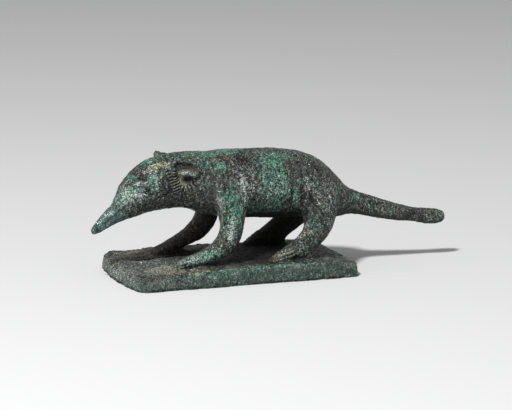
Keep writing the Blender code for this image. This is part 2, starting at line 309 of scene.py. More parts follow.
# The face: an almond eye between two lids, its tear line and fold, the mouth, and the nose's rim.
EYE = (-23.8, 22.7)
EYE_TURN = radians(-14)
UPPER_LID = [(-25.1, 22.6), (-24.6, 23.2), (-23.8, 23.5), (-23.0, 23.2), (-22.5, 22.6)]
LOWER_LID = [(-25.1, 22.5), (-24.5, 22.0), (-23.8, 21.8), (-23.0, 22.1), (-22.5, 22.5)]
TEAR_LINE = [(-22.9, 22.8), (-22.4, 22.4), (-21.8, 22.2)]
LID_FOLD = [(-25.4, 23.3), (-24.7, 24.0), (-23.8, 24.2), (-22.9, 23.9), (-22.2, 23.2)]
UNDER_EYE = [(-25.4, 21.2), (-24.2, 20.7), (-23.0, 20.9)]
MOUTH = [(-33.4, 13.6), (-31.2, 15.2), (-29.0, 17.0), (-27.2, 18.6), (-26.3, 19.0)]
MOUTH_CORNER = [(-27.2, 20.3), (-26.6, 19.6), (-26.3, 18.7)]
NOSE_RING = [(-34.1, 14.6), (-33.9, 13.4), (-33.7, 12.2)]
WHISKER_PAD = (-30.4, 16.9)
BROW = (-27.4, 22.6)

dent(EYE, radii=(1.9, 1.2), depth=0.16, turn=EYE_TURN)
dent(EYE, radii=(0.85, 0.5), depth=-0.36, turn=EYE_TURN)
cut(UPPER_LID, width=0.17, depth=0.16, bank=0.3)
cut(LOWER_LID, width=0.17, depth=0.20, bank=0.3)
cut(TEAR_LINE, width=0.26, depth=0.30)
cut(LID_FOLD, width=0.32, depth=-0.34, bank=0)
cut(UNDER_EYE, width=0.26, depth=-0.18, bank=0)
cut(MOUTH, width=0.30, depth=0.10)
cut(MOUTH_CORNER, width=0.25, depth=0.14)
cut(NOSE_RING, width=0.30, depth=0.10, taper=0.1)
dent(WHISKER_PAD, radii=(0.7, 0.6), depth=-0.22)
dent(BROW, radii=(0.8, 0.7), depth=-0.2)

# The fur before the ear stands in a column of short deep strokes, with a fan of them under the
# ear and three ridges down the cheek, each with a groove behind it.
FUR_START = (-18.1, 26.5)
FUR_ROWS = 8
FUR_DROP = (0.24, -0.66)
FUR_LEAN = (2.4, 0.95)
FUR_BEND = (0.5, 0.6)
FAN_CENTRE = (-13.4, 25.6)
FAN_START = (2.6, 2.4)
FAN_FLATNESS = 0.92
FAN_STROKES = [(-112, 3.9), (-97, 4.5), (-80, 4.2), (-64, 4.6), (-47, 4.0)]
CHEEK_RIDGES = [
    [(-18.6, 26.9), (-18.2, 25.2), (-17.9, 23.3), (-17.3, 21.0)],
    [(-19.6, 24.4), (-18.9, 22.9), (-18.1, 21.2)],
    [(-20.4, 23.2), (-19.6, 22.0), (-18.9, 20.8)],
]
CHEEK_GROOVE_SHIFT = 0.42

for row in range(FUR_ROWS):
    x = FUR_START[0] + FUR_DROP[0] * row
    z = FUR_START[1] + FUR_DROP[1] * row
    bend = (x + FUR_LEAN[0] * FUR_BEND[0], z + FUR_LEAN[1] * FUR_BEND[1])
    cut([(x, z), bend, (x + FUR_LEAN[0], z + FUR_LEAN[1])], width=0.18, depth=0.28, bank=1.2)
for turn, reach in FAN_STROKES:
    ray_x = cos(radians(turn))
    ray_z = sin(radians(turn))
    start = (FAN_CENTRE[0] + ray_x * FAN_START[0], FAN_CENTRE[1] + ray_z * FAN_START[1])
    end = (FAN_CENTRE[0] + ray_x * reach, FAN_CENTRE[1] + ray_z * reach * FAN_FLATNESS)
    cut([start, end], width=0.19, depth=0.24, bank=1.1)
for ridge in CHEEK_RIDGES:
    cut(ridge, width=0.20, depth=-0.16, bank=0)
    cut([(x + CHEEK_GROOVE_SHIFT, z) for x, z in ridge], width=0.18, depth=0.14, bank=0)

# The ear: a swollen upper rim, a hollow at the foot of the cup with a fold over it, a rear lip,
# and a small boss with a pit in it behind.
EAR_RIM = (-13.7, 27.3)
EAR_FOOT = (-12.5, 24.8)
EAR_FOLD = [(-14.2, 24.7), (-12.8, 24.6), (-11.6, 25.0)]
EAR_LIP = [(-10.6, 27.6), (-10.2, 26.6), (-10.5, 25.5)]
EAR_BOSS = (-7.7, 24.9)

dent(EAR_RIM, radii=(2.4, 0.7), depth=-0.7)
dent(EAR_FOOT, radii=(1.9, 0.6), depth=0.6)
cut(EAR_FOLD, width=0.5, depth=0.2, bank=0)
cut(EAR_LIP, width=0.22, depth=-0.22, bank=0)
dent(EAR_BOSS, radii=(0.9, 0.9), depth=-0.2)
dent(EAR_BOSS, radii=(0.4, 0.4), depth=0.3)

# The collar, the feather-like strokes behind it in two rows, and two folds over the foreleg.
COLLAR = [(-2.7, 28.9), (-2.9, 27.2), (-3.0, 25.5), (-3.1, 23.4), (-3.3, 21.2)]
FEATHER = [(0, 0), (0.7, -1.1), (1.3, -2.3), (1.5, -3.4)]
FEATHERS = [
    (-1.6, 29.4, 0.16),
    (-0.2, 29.1, 0.2),
    (1.0, 28.9, 0.24),
    (2.0, 28.5, 0.14),
    (3.3, 28.4, 0.12),
]
LOW_FEATHER_START = -1.4
LOW_FEATHER_STEP = 0.8
LOW_FEATHER_TOP = 22.9
LOW_FEATHER_MIDDLE = 20.9
LOW_FEATHER_END = 18.8
LOW_FEATHER_DROPS = (0.4, 0, 0.9, 0.2, 1.1)
UPPER_FOLD = [(-2.7, 22.2), (-3.6, 20.2), (-5.0, 19.2)]
LOWER_FOLD = [(-1.4, 20.2), (-3.0, 18.3), (-4.4, 17.6)]

cut(COLLAR, width=0.24, depth=0.14, bank=0.4)
for x, z, depth in FEATHERS:
    cut([(x + dx, z + dz) for dx, dz in FEATHER], width=0.18, depth=depth, bank=0.9)
for row, drop in enumerate(LOW_FEATHER_DROPS):
    x = LOW_FEATHER_START + LOW_FEATHER_STEP * row
    bend = (x + 0.8, LOW_FEATHER_MIDDLE - drop)
    cut([(x, LOW_FEATHER_TOP - drop), bend, (x + 1.3, LOW_FEATHER_END)], width=0.18, depth=0.17, bank=0.7)
cut(UPPER_FOLD, width=0.30, depth=0.16, bank=0.6)
cut(LOWER_FOLD, width=0.28, depth=0.14, bank=0.6)

# The girdle's two lines, the thigh and the heel, the toes, a rib along the plinth's side, and a
# ring near the tail's end.
GIRDLE = [(13.3, 28.6), (13.5, 26.4), (13.4, 23.5), (13.1, 21.0), (13.3, 18.0), (13.4, 15.9)]
GIRDLE_WIDTH = 2.4
THIGH = [(16.6, 19.6), (18.4, 17.5), (19.8, 15.4), (20.9, 13.4)]
THIGH_RIDGE = [(17.6, 17.4), (19.0, 15.9), (19.9, 13.9), (20.3, 12.2)]
KNEE_RIDGE = [(14.9, 11.6), (16.0, 12.6), (17.2, 14.0)]
TOES = [
    [(6.6, 4.8), (9.0, 5.3), (11.6, 6.0), (13.4, 6.9)],
    [(7.4, 5.6), (9.6, 6.3), (12.0, 7.3)],
    [(-17.6, 4.9), (-15.6, 5.3), (-13.6, 5.9)],
    [(-17.0, 5.6), (-15.0, 6.1), (-13.2, 6.6)],
]
PLINTH_RIB = [(-13, 2.4), (-8, 2.8), (-2, 3.0), (6, 3.1), (14, 3.2), (20, 3.0)]
TAIL_RING = [(52.0, 13.2), (51.4, 11.6), (50.8, 10.2)]

cut(GIRDLE, width=0.26, depth=0.12, bank=0.4, taper=0.12)
cut([(x + GIRDLE_WIDTH, z) for x, z in GIRDLE], width=0.26, depth=0.10, bank=0.4, taper=0.12)
cut(THIGH, width=0.34, depth=0.14, bank=0.4)
cut(THIGH_RIDGE, width=0.26, depth=-0.16, bank=0)
cut(KNEE_RIDGE, width=0.30, depth=-0.16, bank=0)
for toe in TOES:
    cut(toe, width=0.26, depth=0.26, bank=0.5)
cut(PLINTH_RIB, width=0.22, depth=-0.12, bank=0)
cut(TAIL_RING, width=0.3, depth=-0.10, taper=0.1)

# The coat: short curved strokes scratched in loose rows over both flanks.
COAT_START = (1.2, 17.4)
HAIR_STEP = (0.86, 1.12)
HAIR_COLUMNS = 14
HAIR_ROWS = 9
HAIR_STRAY = 0.3
HAIR_BOWS = (-0.3, 0.3, 0.45)
HAIR_LEAN = (-0.4, 0.5)
HAIR_LENGTH = (0.8, 1.5)
HAIR_DEPTHS = (0.2, 0.2, -0.16)

hands = Random(12)
for column in range(HAIR_COLUMNS):
    for row in range(HAIR_ROWS):
        x = COAT_START[0] + HAIR_STEP[0] * column + hands.uniform(-HAIR_STRAY, HAIR_STRAY)
        staggered = row + 0.5 * (column % 2)
        z = COAT_START[1] + HAIR_STEP[1] * staggered + hands.uniform(-HAIR_STRAY, HAIR_STRAY)
        bow = hands.choice(HAIR_BOWS)
        lean = hands.uniform(*HAIR_LEAN)
        length = hands.uniform(*HAIR_LENGTH)
        hair = [(x, z), (x + bow + lean * 0.5, z - length * 0.5), (x + lean, z - length)]
        cut(hair, width=0.15, depth=hands.choice(HAIR_DEPTHS), bank=0.6)

# The skin the ground left: cast waviness, corroded grain and open pits, with the plinth's edges
# worn. All of it stays within the solid's own box.
SWELL_PER_MM = 0.32
SWELL_LAYERS = (0.9, 2.1, 3)
SWELL_HEIGHT = 0.09
SWELL_ON_PLINTH = 0.12
SKIN_LOSS = 0.03
GRAIN_PER_MM = 1.15
GRAIN_SHIFT = Vector((7, 3, 1))
GRAIN_LAYERS = (0.7, 2.2, 3)
GRAIN_HEIGHT = 0.085
GRAIN_ON_PLINTH = 0.05
GRAIN_OFF_SNOUT = 0.8
PITS_PER_MM = 0.55
PIT_DEPTH = 0.24
PIT_RADIUS = 0.17
PLINTH_BLEND_TOP = 5.0
LEVEL_LIMIT = 0.5
SNOUT = (-32, 0, 15)
SNOUT_REACH = (4, 5, 4)
FAR_EAR_KNOB = (-18.4, 5.4, 28.8)
FAR_EAR_REACH = (1.3, 1.6, 1.3)
FAR_EAR_HEIGHT = 0.6
FOOT_WEAR_REACH = 0.5
FOOT_WEAR = 0.35
FOOT_WEAR_RANGE = 0.5

grain = np.empty(count)
swell = np.empty(count)
pit = np.empty(count)
for index, point in enumerate(place.tolist()):
    spot = Vector(point)
    swell[index] = noise.fractal(spot * SWELL_PER_MM, *SWELL_LAYERS)
    grain[index] = noise.fractal(spot * GRAIN_PER_MM + GRAIN_SHIFT, *GRAIN_LAYERS)
    cell, _ = noise.voronoi(spot * PITS_PER_MM)
    pit[index] = cell[0]


def near(middle, reach):
    """How close each point is to a middle, from 1 there to 0 well past the reach."""
    return np.exp(-(((place - middle) / reach) ** 2).sum(1))


on_plinth = np.clip(PLINTH_BLEND_TOP - place[:, 2], 0, 1)
on_side = on_plinth * (np.abs(outward[:, 2]) < LEVEL_LIMIT)
smooth_snout = near(SNOUT, SNOUT_REACH)
foot_edge = on_side * np.exp(-(place[:, 2] / FOOT_WEAR_REACH) ** 2)
raised += FAR_EAR_HEIGHT * near(FAR_EAR_KNOB, FAR_EAR_REACH)
raised += (SWELL_HEIGHT + SWELL_ON_PLINTH * on_plinth) * swell * (1 - smooth_snout) - SKIN_LOSS
raised += (GRAIN_HEIGHT + GRAIN_ON_PLINTH * on_plinth) * grain * (1 - GRAIN_OFF_SNOUT * smooth_snout)
raised -= PIT_DEPTH * np.exp(-(pit / PIT_RADIUS) ** 2) * (1 - smooth_snout)
raised -= foot_edge * np.clip(FOOT_WEAR + FOOT_WEAR_RANGE * swell, 0, 1)
raised[place[:, 2] < UNDERSIDE] = 0
low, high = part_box("shrew_figure")
moved = np.clip(place + outward * raised[:, None], np.array(low) / MM, np.array(high) / MM)
mesh.vertices.foreach_set("co", (moved * MM).ravel())
mesh.update()

# Patches of the crust, painted shade and painted glints among them, each a centre and three half
# sizes in millimetres, and a strength. They grow on the nearer side, and again on the farther one a
# little further along the animal.
FAR_SHIFT = 1.6
NEAR_SIDE = (1, 0)
FAR_SIDE = (-1, FAR_SHIFT)
MALACHITE = [
    ((-12, 0, 29.6), (7, 4, 1.0), 0.4),            # nape
    ((-4.2, -1.5, 30.1), (5, 3, 1.1), 0.45),       # top of the shoulders
    ((-0.8, -1.2, 30.4), (4, 2.5, 0.9), 0.4),      # top of the back
    ((-7.9, -5.4, 27.8), (1.6, 1.5, 1.2), 1.0),    # neck behind the ear
    ((-4.4, -6.3, 27.3), (1.5, 1.5, 1.5), 1.0),    # neck at the collar
    ((8.6, -5.1, 28.3), (3.6, 2.5, 2.2), 0.8),     # upper flank
    ((12.3, -4.5, 28.8), (3, 2.5, 1.4), 0.6),      # girdle's top
    ((8.4, -8.2, 24.4), (4.6, 3, 3.2), 0.9),       # flank
    ((9, -8.6, 20.2), (4.4, 3, 2.6), 0.95),        # lower flank
    ((14.4, -8.5, 18.6), (0.8, 2, 3), 1.0),        # between the girdle's lines
    ((6, -8, 17.2), (6.5, 2.5, 1.2), 0.75),        # belly
    ((-3.1, -9.3, 20.5), (2.4, 2.5, 2.6), 1.0),    # shoulder
    ((-2.4, -11.4, 16.3), (2.8, 2.5, 3.4), 0.75),  # upper foreleg
    ((-4.2, -12, 11.9), (2.2, 2.0, 2.2), 0.5),     # foreleg
    ((-9.6, -12.6, 7.3), (4.2, 2.5, 1.8), 0.9),    # forepaw
    ((-15.2, -12.2, 5.8), (3, 2.8, 1.3), 0.8),     # fore toes
    ((-27.3, -3, 21.1), (2.4, 2, 2.2), 1.2),       # cheek before the eye
    ((-28.8, -1.5, 20), (1.5, 1.6, 1.6), 0.8),     # snout's root
    ((-24.6, -4.0, 22.4), (2.4, 1.4, 1.6), 0.7),   # about the eye
    ((-25.4, -1.8, 25.3), (2.0, 1.8, 0.6), 1.1),   # brow
    ((-21.2, -4.7, 24.6), (1.3, 1.6, 2.4), 1.2),   # temple
    ((-20.6, -4.4, 26.7), (1.1, 1.5, 1.3), 0.7),   # upper temple
    ((-21.6, 0.1, 28.6), (2.6, 3, 1.2), 0.5),      # crown
    ((32.3, -2.6, 16.9), (2.4, 2, 1.2), 0.7),      # tail
    ((17.6, -11.2, 9.6), (3, 2.5, 2.6), 0.45),     # shank
    ((22.4, -7, 17.4), (1.2, 2.5, 2.6), 0.4),      # rump
    ((-8, -16, 3.5), (10, 1.5, 1.2), 0.6),         # plinth's front edge
    ((4, -16.4, 4.1), (24, 1.0, 0.35), 0.7),       # plinth's rim
    ((8, -15, 4.0), (9, 1.6, 0.6), 0.5),           # plinth's top
    ((0, -16.6, 2), (27, 1.5, 2), 0.3),            # plinth's side
]
TEAL = [
    ((-31.5, -1, 15.4), (3.5, 3, 2.8), 0.9),       # snout
    ((18.0, -10.8, 13.4), (2.0, 2, 2.6), 0.65),    # hind leg
    ((20.8, -8.6, 19.6), (1.0, 2.4, 2.2), 0.5),    # thigh
    ((14.8, -8.4, 23.2), (0.9, 2, 2.2), 0.5),      # girdle
    ((6, -6, 15.9), (8, 3, 0.9), 0.7),             # belly
    ((36, -3, 14), (3.5, 2, 1.6), 0.5),            # tail
    ((6, -16.8, 1.6), (28, 1.2, 1.8), 0.55),       # plinth's side
    ((2.6, -8.6, 21), (1.6, 2, 2.4), 0.3),         # behind the shoulder
]
# Dark umber crust; some of its patches are painted shade, marked below.
UMBER_AND_SHADE = [
    ((-23.3, -3.3, 26.0), (2.3, 2, 1.6), 1.9),     # brow and temple
    ((-15.9, -6.4, 27.5), (0.8, 1.2, 1.2), 1.0),   # ear's front edge
    # Painted shade in the hollow at the foot of the ear's cup, and a painted shadow under its upper rim.
    ((-12.5, -6.6, 24.8), (2.0, 1.2, 0.5), 1.4),   # foot of the ear's cup
    ((-13.6, -6.6, 28.5), (2.8, 1.6, 0.75), 1.4),  # ear's upper edge
    ((-10.6, -7.0, 27.6), (0.9, 1.4, 1.0), 1.2),   # ear's tip
    ((-16.4, -6.0, 22.6), (1.4, 1.2, 1.2), 0.5),   # fur under the ear
    ((-10.0, -6.4, 26.0), (0.5, 1.2, 1.2), 1.1),   # ear's rear edge
    ((-10.9, -6.4, 24.2), (1.0, 1.2, 0.6), 0.8),   # ear's lower edge
    ((-3, 0, 30.4), (9, 3, 0.8), 0.6),             # shoulders' top
    ((1.4, -5.2, 28.6), (2.1, 2.4, 1.8), 1.0),     # upper feathers
    ((17.0, -9.2, 18.2), (2.0, 3, 3.4), 1.3),      # haunch
    ((20.1, -11.4, 13.6), (1.3, 1.8, 2.6), 0.9),   # hock
    ((-30.6, -1.5, 17.3), (0.9, 1, 0.9), 0.9),     # snout's side
    # Painted shade under the belly.
    ((8.4, -4.6, 14.6), (9, 5, 0.9), 0.9),         # under the belly
    ((-18.3, -5.6, 22.4), (1.6, 1.5, 2.8), 0.9),   # cheek ridges
    ((-22, -3, 18.5), (6, 3, 1.4), 0.6),           # jaw
    ((19.8, -5.5, 25.4), (3.6, 3.5, 2.6), 0.7),    # rump
    ((30, -3, 15.5), (2.2, 3, 2.6), 0.4),          # tail's root
    ((46, -2, 11.6), (6, 3, 1.6), 0.6),            # tail's end
    ((11.6, -8.6, 18.9), (0.9, 2, 0.8), 0.5),      # lower flank
    # Painted shade on the plinth's top under the belly.
    ((5, -2, 4.3), (15, 10.5, 1.0), 1.2),          # plinth's top under the belly
    ((-5.6, -11.2, 12.6), (1.2, 1.4, 1.7), 0.6),   # front of the foreleg
    # Painted shade in the plinth's channel.
    ((-21, 5.9, 3.2), (7, 1.6, 1.0), 0.7),         # plinth's channel
]
TAN = [
    ((-13.0, -6.6, 26.5), (2.5, 1.5, 0.8), 1.8),   # ear's cup
    ((-15, -6.2, 25), (1.1, 1, 1.1), 0.8),         # ear's front
    ((-13.8, -6.4, 23.2), (1.7, 1.4, 1.4), 0.9),   # fan of fur
    ((-18.9, -3.7, 28.0), (2.6, 1.9, 1.0), 0.85),  # crown's side
    ((-16.6, -4.4, 28.6), (1.8, 1.8, 0.8), 0.8),   # before the ear's top
    ((-21.0, -3.4, 27.4), (1.6, 1.4, 0.8), 0.85),  # forehead
    ((-16.3, -6.1, 23.6), (1.1, 1.2, 2.2), 0.5),   # fur column
    ((-24.5, -4.3, 20.9), (2.6, 1.5, 0.9), 0.5),   # under the eye
    ((7.9, -11.2, 5.5), (2.6, 2.8, 1.2), 0.9),     # hind toes
    ((11.4, -12.6, 6.8), (2.6, 2, 1.5), 0.6),      # hind foot
    ((15.6, -11.3, 10.9), (1.8, 2.2, 1.8), 0.7),   # shank
    ((-17.8, -9.1, 3.8), (3, 3, 0.8), 0.8),        # plinth before the forepaw
    ((-12, -15, 3.8), (4, 2, 0.8), 0.6),           # plinth beside the forepaw
    ((-29, -3.5, 2.6), (1.3, 3.5, 1.4), 0.7),      # plinth's front end
    ((-20, 10, 3.8), (7, 4, 1), 0.35),             # plinth's far front
    ((0, -14.6, 4.2), (9, 1.2, 0.5), 0.5),         # plinth's near rim
    ((26, -12, 3.4), (3, 5, 0.8), 0.45),           # plinth's rear corner
    ((-20, -9, 3.9), (7, 5.5, 0.9), 0.8),          # plinth's near front
]
# Pale ash crust, and painted glints and highlights: the snout's ridge and top, the upper lid's fold, the
# ear's fold, the foreleg and its edge, the shoulder, the forepaw and the hock's edge.
ASH_AND_GLINTS = [
    ((-21, -6, 3.7), (6, 5.5, 0.9), 0.35),         # plinth's near front
    ((-20.4, -5.0, 25.0), (1.2, 1.6, 2.4), 0.5),   # temple
    ((-22.4, -3.6, 26.8), (1.6, 1.4, 0.7), 0.7),   # forehead
    ((-31.4, -1.4, 16.6), (2.6, 0.9, 0.35), 0.8),  # snout's ridge
    ((-23.9, -4.2, 21.6), (1.8, 1.4, 0.9), 0.9),   # lower lid
    ((-3.4, -11.9, 13.4), (0.7, 1.4, 2.6), 0.8),   # foreleg's edge
    ((0.4, -8.6, 22.4), (0.7, 1.4, 3.4), 0.8),     # shoulder's rear
    ((-5.6, -8.6, 19.6), (0.6, 1.4, 2.0), 0.7),    # shoulder's front
    ((20.9, -9.4, 12.2), (0.5, 1.6, 2.6), 0.8),    # hock's edge
    ((9.4, -8.6, 21.6), (4.2, 2.6, 2.6), 0.45),    # flank
    ((1.7, -8.4, 22.6), (2.6, 2.5, 3.6), 0.45),    # lower feathers
    ((-27.2, -3, 20.8), (2.4, 2, 2.0), 0.75),      # cheek
    ((-24.1, -4.2, 24.0), (1.3, 1.0, 0.45), 2.4),  # upper lid's fold
    ((-12.5, -6.5, 26.1), (1.2, 1, 0.35), 3.0),    # ear's fold
    ((-4.2, -12.4, 11.4), (1.2, 1.4, 1.8), 0.8),   # foreleg
    ((-13, -12.4, 6.4), (4, 2, 1.2), 0.65),        # forepaw
    ((17.2, -9, 21.6), (1.4, 2, 1.4), 0.5),        # haunch
    ((-31.6, -0.6, 16.7), (1.6, 0.8, 1.0), 0.3),   # snout's top
    ((-29.6, 0, 2), (1.2, 14, 1.8), 0.45),         # plinth's front end
    ((24, -7, 19), (5, 3, 4), 0.25),               # rump
]
CUPRITE = [
    ((6.3, -8, 18.6), (1.1, 1.4, 1.0), 0.9),       # lower flank
    ((-3.4, -3.9, 29.3), (4, 1, 0.5), 0.7),        # shoulders' top
    ((12.6, -5.4, 28.2), (2.2, 1, 0.4), 0.6),      # girdle's top
    ((-8, -2, 15.5), (2, 3, 1.6), 0.5),            # breast
    ((34, -3, 15.6), (0.7, 1, 0.6), 0.8),          # tail
    ((0, 2, 4.2), (8, 5, 0.6), 0.4),               # plinth's top
    ((16.6, -8.8, 20.8), (0.8, 1.4, 1.2), 0.5),    # haunch
]

# Where the crust is even and shows few specks.
QUIET = [
    ((-23.3, -3.3, 26.0), (2.4, 2, 1.8), 0.8),     # brow and temple
    ((-14.2, -6.4, 25.2), (4.2, 3, 3.8), 0.9),     # ear
    ((-7.5, -8, 20.5), (4.4, 4, 5), 0.8),          # neck and shoulder
    ((-18.5, -5, 20.5), (5, 3, 2), 0.5),           # jaw
    ((-32, 0, 15), (3, 4, 4), 0.6),                # snout
    ((44, 0, 13), (7, 3, 3), 0.4),                 # tail
    ((24, -7, 22), (4, 4, 4), 0.4),                # rump
]

# Earth and painted shade under the animal and behind its legs: the brown patches are earth, and
# the near black ones paint the shadow. They aren't repeated on the other side.
# Brown earth on the far foreleg and its toes and on the plinth's front end; in the plinth's channel it is
# painted shade.
EARTH_AND_SHADE_PATCHES = [
    ((-17, 10, 4), (10, 6.5, 4.5), 1.0),           # far foreleg's toes
    ((-9, 7.6, 8), (5, 3.5, 5.5), 1.4),            # far foreleg
    ((-21, 5.9, 3.2), (9, 3, 1.4), 1.0),           # plinth's channel
    ((-28.8, 6, 3), (2, 9, 2), 0.7),               # plinth's front end
]
# Painted shade: near black where the body and legs shade the far hind leg, the knee's crease, the plinth
# behind the forepaw and under the belly, and the plinth's channel.
PAINTED_SHADE_PATCHES = [
    ((-20.6, 5.4, 3.2), (6.5, 0.8, 1.0), 0.9),     # plinth's channel
    ((12.5, 9.5, 9.5), (7, 4.5, 5.5), 1.6),        # far hind leg
    ((15.6, -10, 15.0), (2.0, 2.4, 2.6), 0.8),     # crease of the knee
    ((-10, -8.5, 4.4), (5, 2.2, 1.2), 0.7),        # behind the forepaw
    ((3, 3, 4.2), (14, 9, 1.0), 1.5),              # plinth's top under the belly
    ((2, -6, 4.2), (11, 5, 1.0), 0.7),             # and before it
]


def grown(patches, sides=(NEAR_SIDE, FAR_SIDE)):
    """How strongly a set of patches grows at each point, from its patches on those sides."""
    strength = np.zeros(count)
    for centre, radii, amount in patches:
        for side, shift in sides:
            strength += amount * near((centre[0] + shift, centre[1] * side, centre[2]), radii)
    return strength


def store(name, values):
    """Keeps one number for each point of the casting under that name."""
    layer = mesh.attributes.new(name, "FLOAT", "POINT")
    layer.data.foreach_set("value", np.clip(values, 0, 1).astype(np.float32))


CUT_INK = 0.8
HOLLOW_PER_MM = 1.8
PROUD_PER_MM = 5.0
INNER_START = 2.5
INNER_GAIN = 1.6
UNDER_START = 0.3
UNDER_GAIN = 1.4
BELLY_LEVEL = 17.0
BELLY_BLEND = 3.0
TOP_LEVEL = 3.0
TOP_BLEND = 0.8
SHADE_START = -6
SHADE_BLEND = 5

store("malachite", grown(MALACHITE))
store("teal", grown(TEAL))
store("umber_and_shade", grown(UMBER_AND_SHADE))
store("tan", grown(TAN))
store("ash_and_glints", grown(ASH_AND_GLINTS))
store("cuprite", grown(CUPRITE))
store("hollow", inked * CUT_INK - raised * HOLLOW_PER_MM)
store("proud", raised * PROUD_PER_MM)
store("polish", smooth_snout)
store("calm", on_side)
store("quiet", grown(QUIET))
# Painted shade from the shape: faces turned in between the legs and faces turned down, below the belly
# and from the forelegs back, are darkened where shade falls. The faces turned in below the belly take the
# dark earth colour too, as painted shade.
facing_in = np.clip(-INNER_GAIN * outward[:, 1] * np.sign(place[:, 1]), 0, 1)
inner = facing_in * (np.abs(place[:, 1]) > INNER_START)
under = np.clip(-UNDER_GAIN * outward[:, 2] - UNDER_START, 0, 1)
below_belly = np.clip((BELLY_LEVEL - place[:, 2]) / BELLY_BLEND, 0, 1)
low_down = below_belly * np.clip((place[:, 2] - TOP_LEVEL) / TOP_BLEND, 0, 1)
behind = np.clip((place[:, 0] - SHADE_START) / SHADE_BLEND, 0, 1)
shaded = np.maximum(inner, under) * low_down * behind
store("earth_and_shade", np.maximum(inner * low_down, grown(EARTH_AND_SHADE_PATCHES, sides=[NEAR_SIDE])))
store("painted_shade", np.maximum(shaded, grown(PAINTED_SHADE_PATCHES, sides=[NEAR_SIDE])))

# The skin's faces are thinned out where it is smooth, and stay small in the carved places.
SKIN_SHARE = 0.42

thinning = casting.modifiers.new("thinning", "DECIMATE")
thinning.ratio = SKIN_SHARE
bpy.ops.object.select_all(action="DESELECT")
casting.select_set(True)
bpy.context.view_layer.objects.active = casting
bpy.ops.object.modifier_apply(modifier=thinning.name)
mesh = casting.data
kept = np.clip(read_vectors(mesh.vertices, "co"), low, high)
mesh.vertices.foreach_set("co", kept.ravel())
mesh.update()

# The finish: near black bronze, mottled with grey green, then each crust with a broken edge,
# pale salts and painted glints in specks, dirt in the cuts, and painted shade.
bronze = bpy.data.materials.new("patinated_bronze")
bronze.use_nodes = True
nodes = bronze.node_tree.nodes
links = bronze.node_tree.links
shader = nodes["Principled BSDF"]
coordinates = nodes.new("ShaderNodeTexCoord").outputs["Object"]


def feed(socket, value):
    """Links another node's value to a socket, or sets the socket to a number or a colour."""
    if isinstance(value, bpy.types.NodeSocket):
        links.new(value, socket)
    elif isinstance(value, tuple):
        socket.default_value = (*value, 1)
    else:
        socket.default_value = value


def grain_noise(size, detail, roughness, shift, over=coordinates):
    """A noise over the casting whose lumps measure about that many millimetres."""
    node = nodes.new("ShaderNodeTexNoise")
    node.noise_dimensions = "4D"
    node.inputs["W"].default_value = shift
    node.inputs["Scale"].default_value = 1 / (size * MM)
    node.inputs["Detail"].default_value = detail
    node.inputs["Roughness"].default_value = roughness
    links.new(over, node.inputs["Vector"])
    return node.outputs["Fac"]


def step(value, low, high, to_low=0.0, to_high=1.0):
    """A smooth step from one value to the next, as the input passes from low to high."""
    node = nodes.new("ShaderNodeMapRange")
    node.interpolation_type = "SMOOTHSTEP"
    links.new(value, node.inputs["Value"])
    node.inputs["From Min"].default_value = low
    node.inputs["From Max"].default_value = high
    node.inputs["To Min"].default_value = to_low
    node.inputs["To Max"].default_value = to_high
    return node.outputs["Result"]


def combined(operation, first, second):
    """Two values, or a value and a number, put through one operation."""
    node = nodes.new("ShaderNodeMath")
    node.operation = operation
    feed(node.inputs[0], first)
    feed(node.inputs[1], second)
    return node.outputs["Value"]


def plus(first, second):
    """The sum of two values."""
    return combined("ADD", first, second)


def minus(first, second):
    """What is left of the first value without the second."""
    return combined("SUBTRACT", first, second)


def times(first, second):
    """The product of two values."""
    return combined("MULTIPLY", first, second)


def painted(name):
    """The strength that was stored under that name."""
    node = nodes.new("ShaderNodeAttribute")
    node.attribute_name = name
    return node.outputs["Fac"]


def tint(under, over, share):
    """One colour laid over another by a mask."""
    node = nodes.new("ShaderNodeMix")
    node.data_type = "RGBA"
    share_socket, under_socket, over_socket = (socket for socket in node.inputs if socket.enabled)
    feed(share_socket, share)
    feed(under_socket, under)
    feed(over_socket, over)
    return next(socket for socket in node.outputs if socket.enabled)


def scales(size, wander):
    """Random values, one to each small scale of crust, on coordinates bent by a noise."""
    bend_noise = nodes.new("ShaderNodeTexNoise")
    bend_noise.inputs["Scale"].default_value = 1 / (size * 1.3 * MM)
    links.new(coordinates, bend_noise.inputs["Vector"])
    bent = nodes.new("ShaderNodeVectorMath")
    bent.operation = "MULTIPLY_ADD"
    links.new(bend_noise.outputs["Color"], bent.inputs[0])
    bent.inputs[1].default_value = (wander * MM,) * 3
    links.new(coordinates, bent.inputs[2])
    cells = nodes.new("ShaderNodeTexVoronoi")
    cells.inputs["Scale"].default_value = 1 / (size * MM)
    links.new(bent.outputs["Vector"], cells.inputs["Vector"])
    split = nodes.new("ShaderNodeSeparateColor")
    links.new(cells.outputs["Color"], split.inputs["Color"])
    return split.outputs["Red"], split.outputs["Green"]


# The grains that all the crusts share, from broad clouds to dust. The streaks are drawn out along
# lines that lean back from the upright, as the scratched wax is.
STREAK_LEAN = radians(24)
STREAK_STRETCH = 0.34
EVEN_SPECKS = 0.5

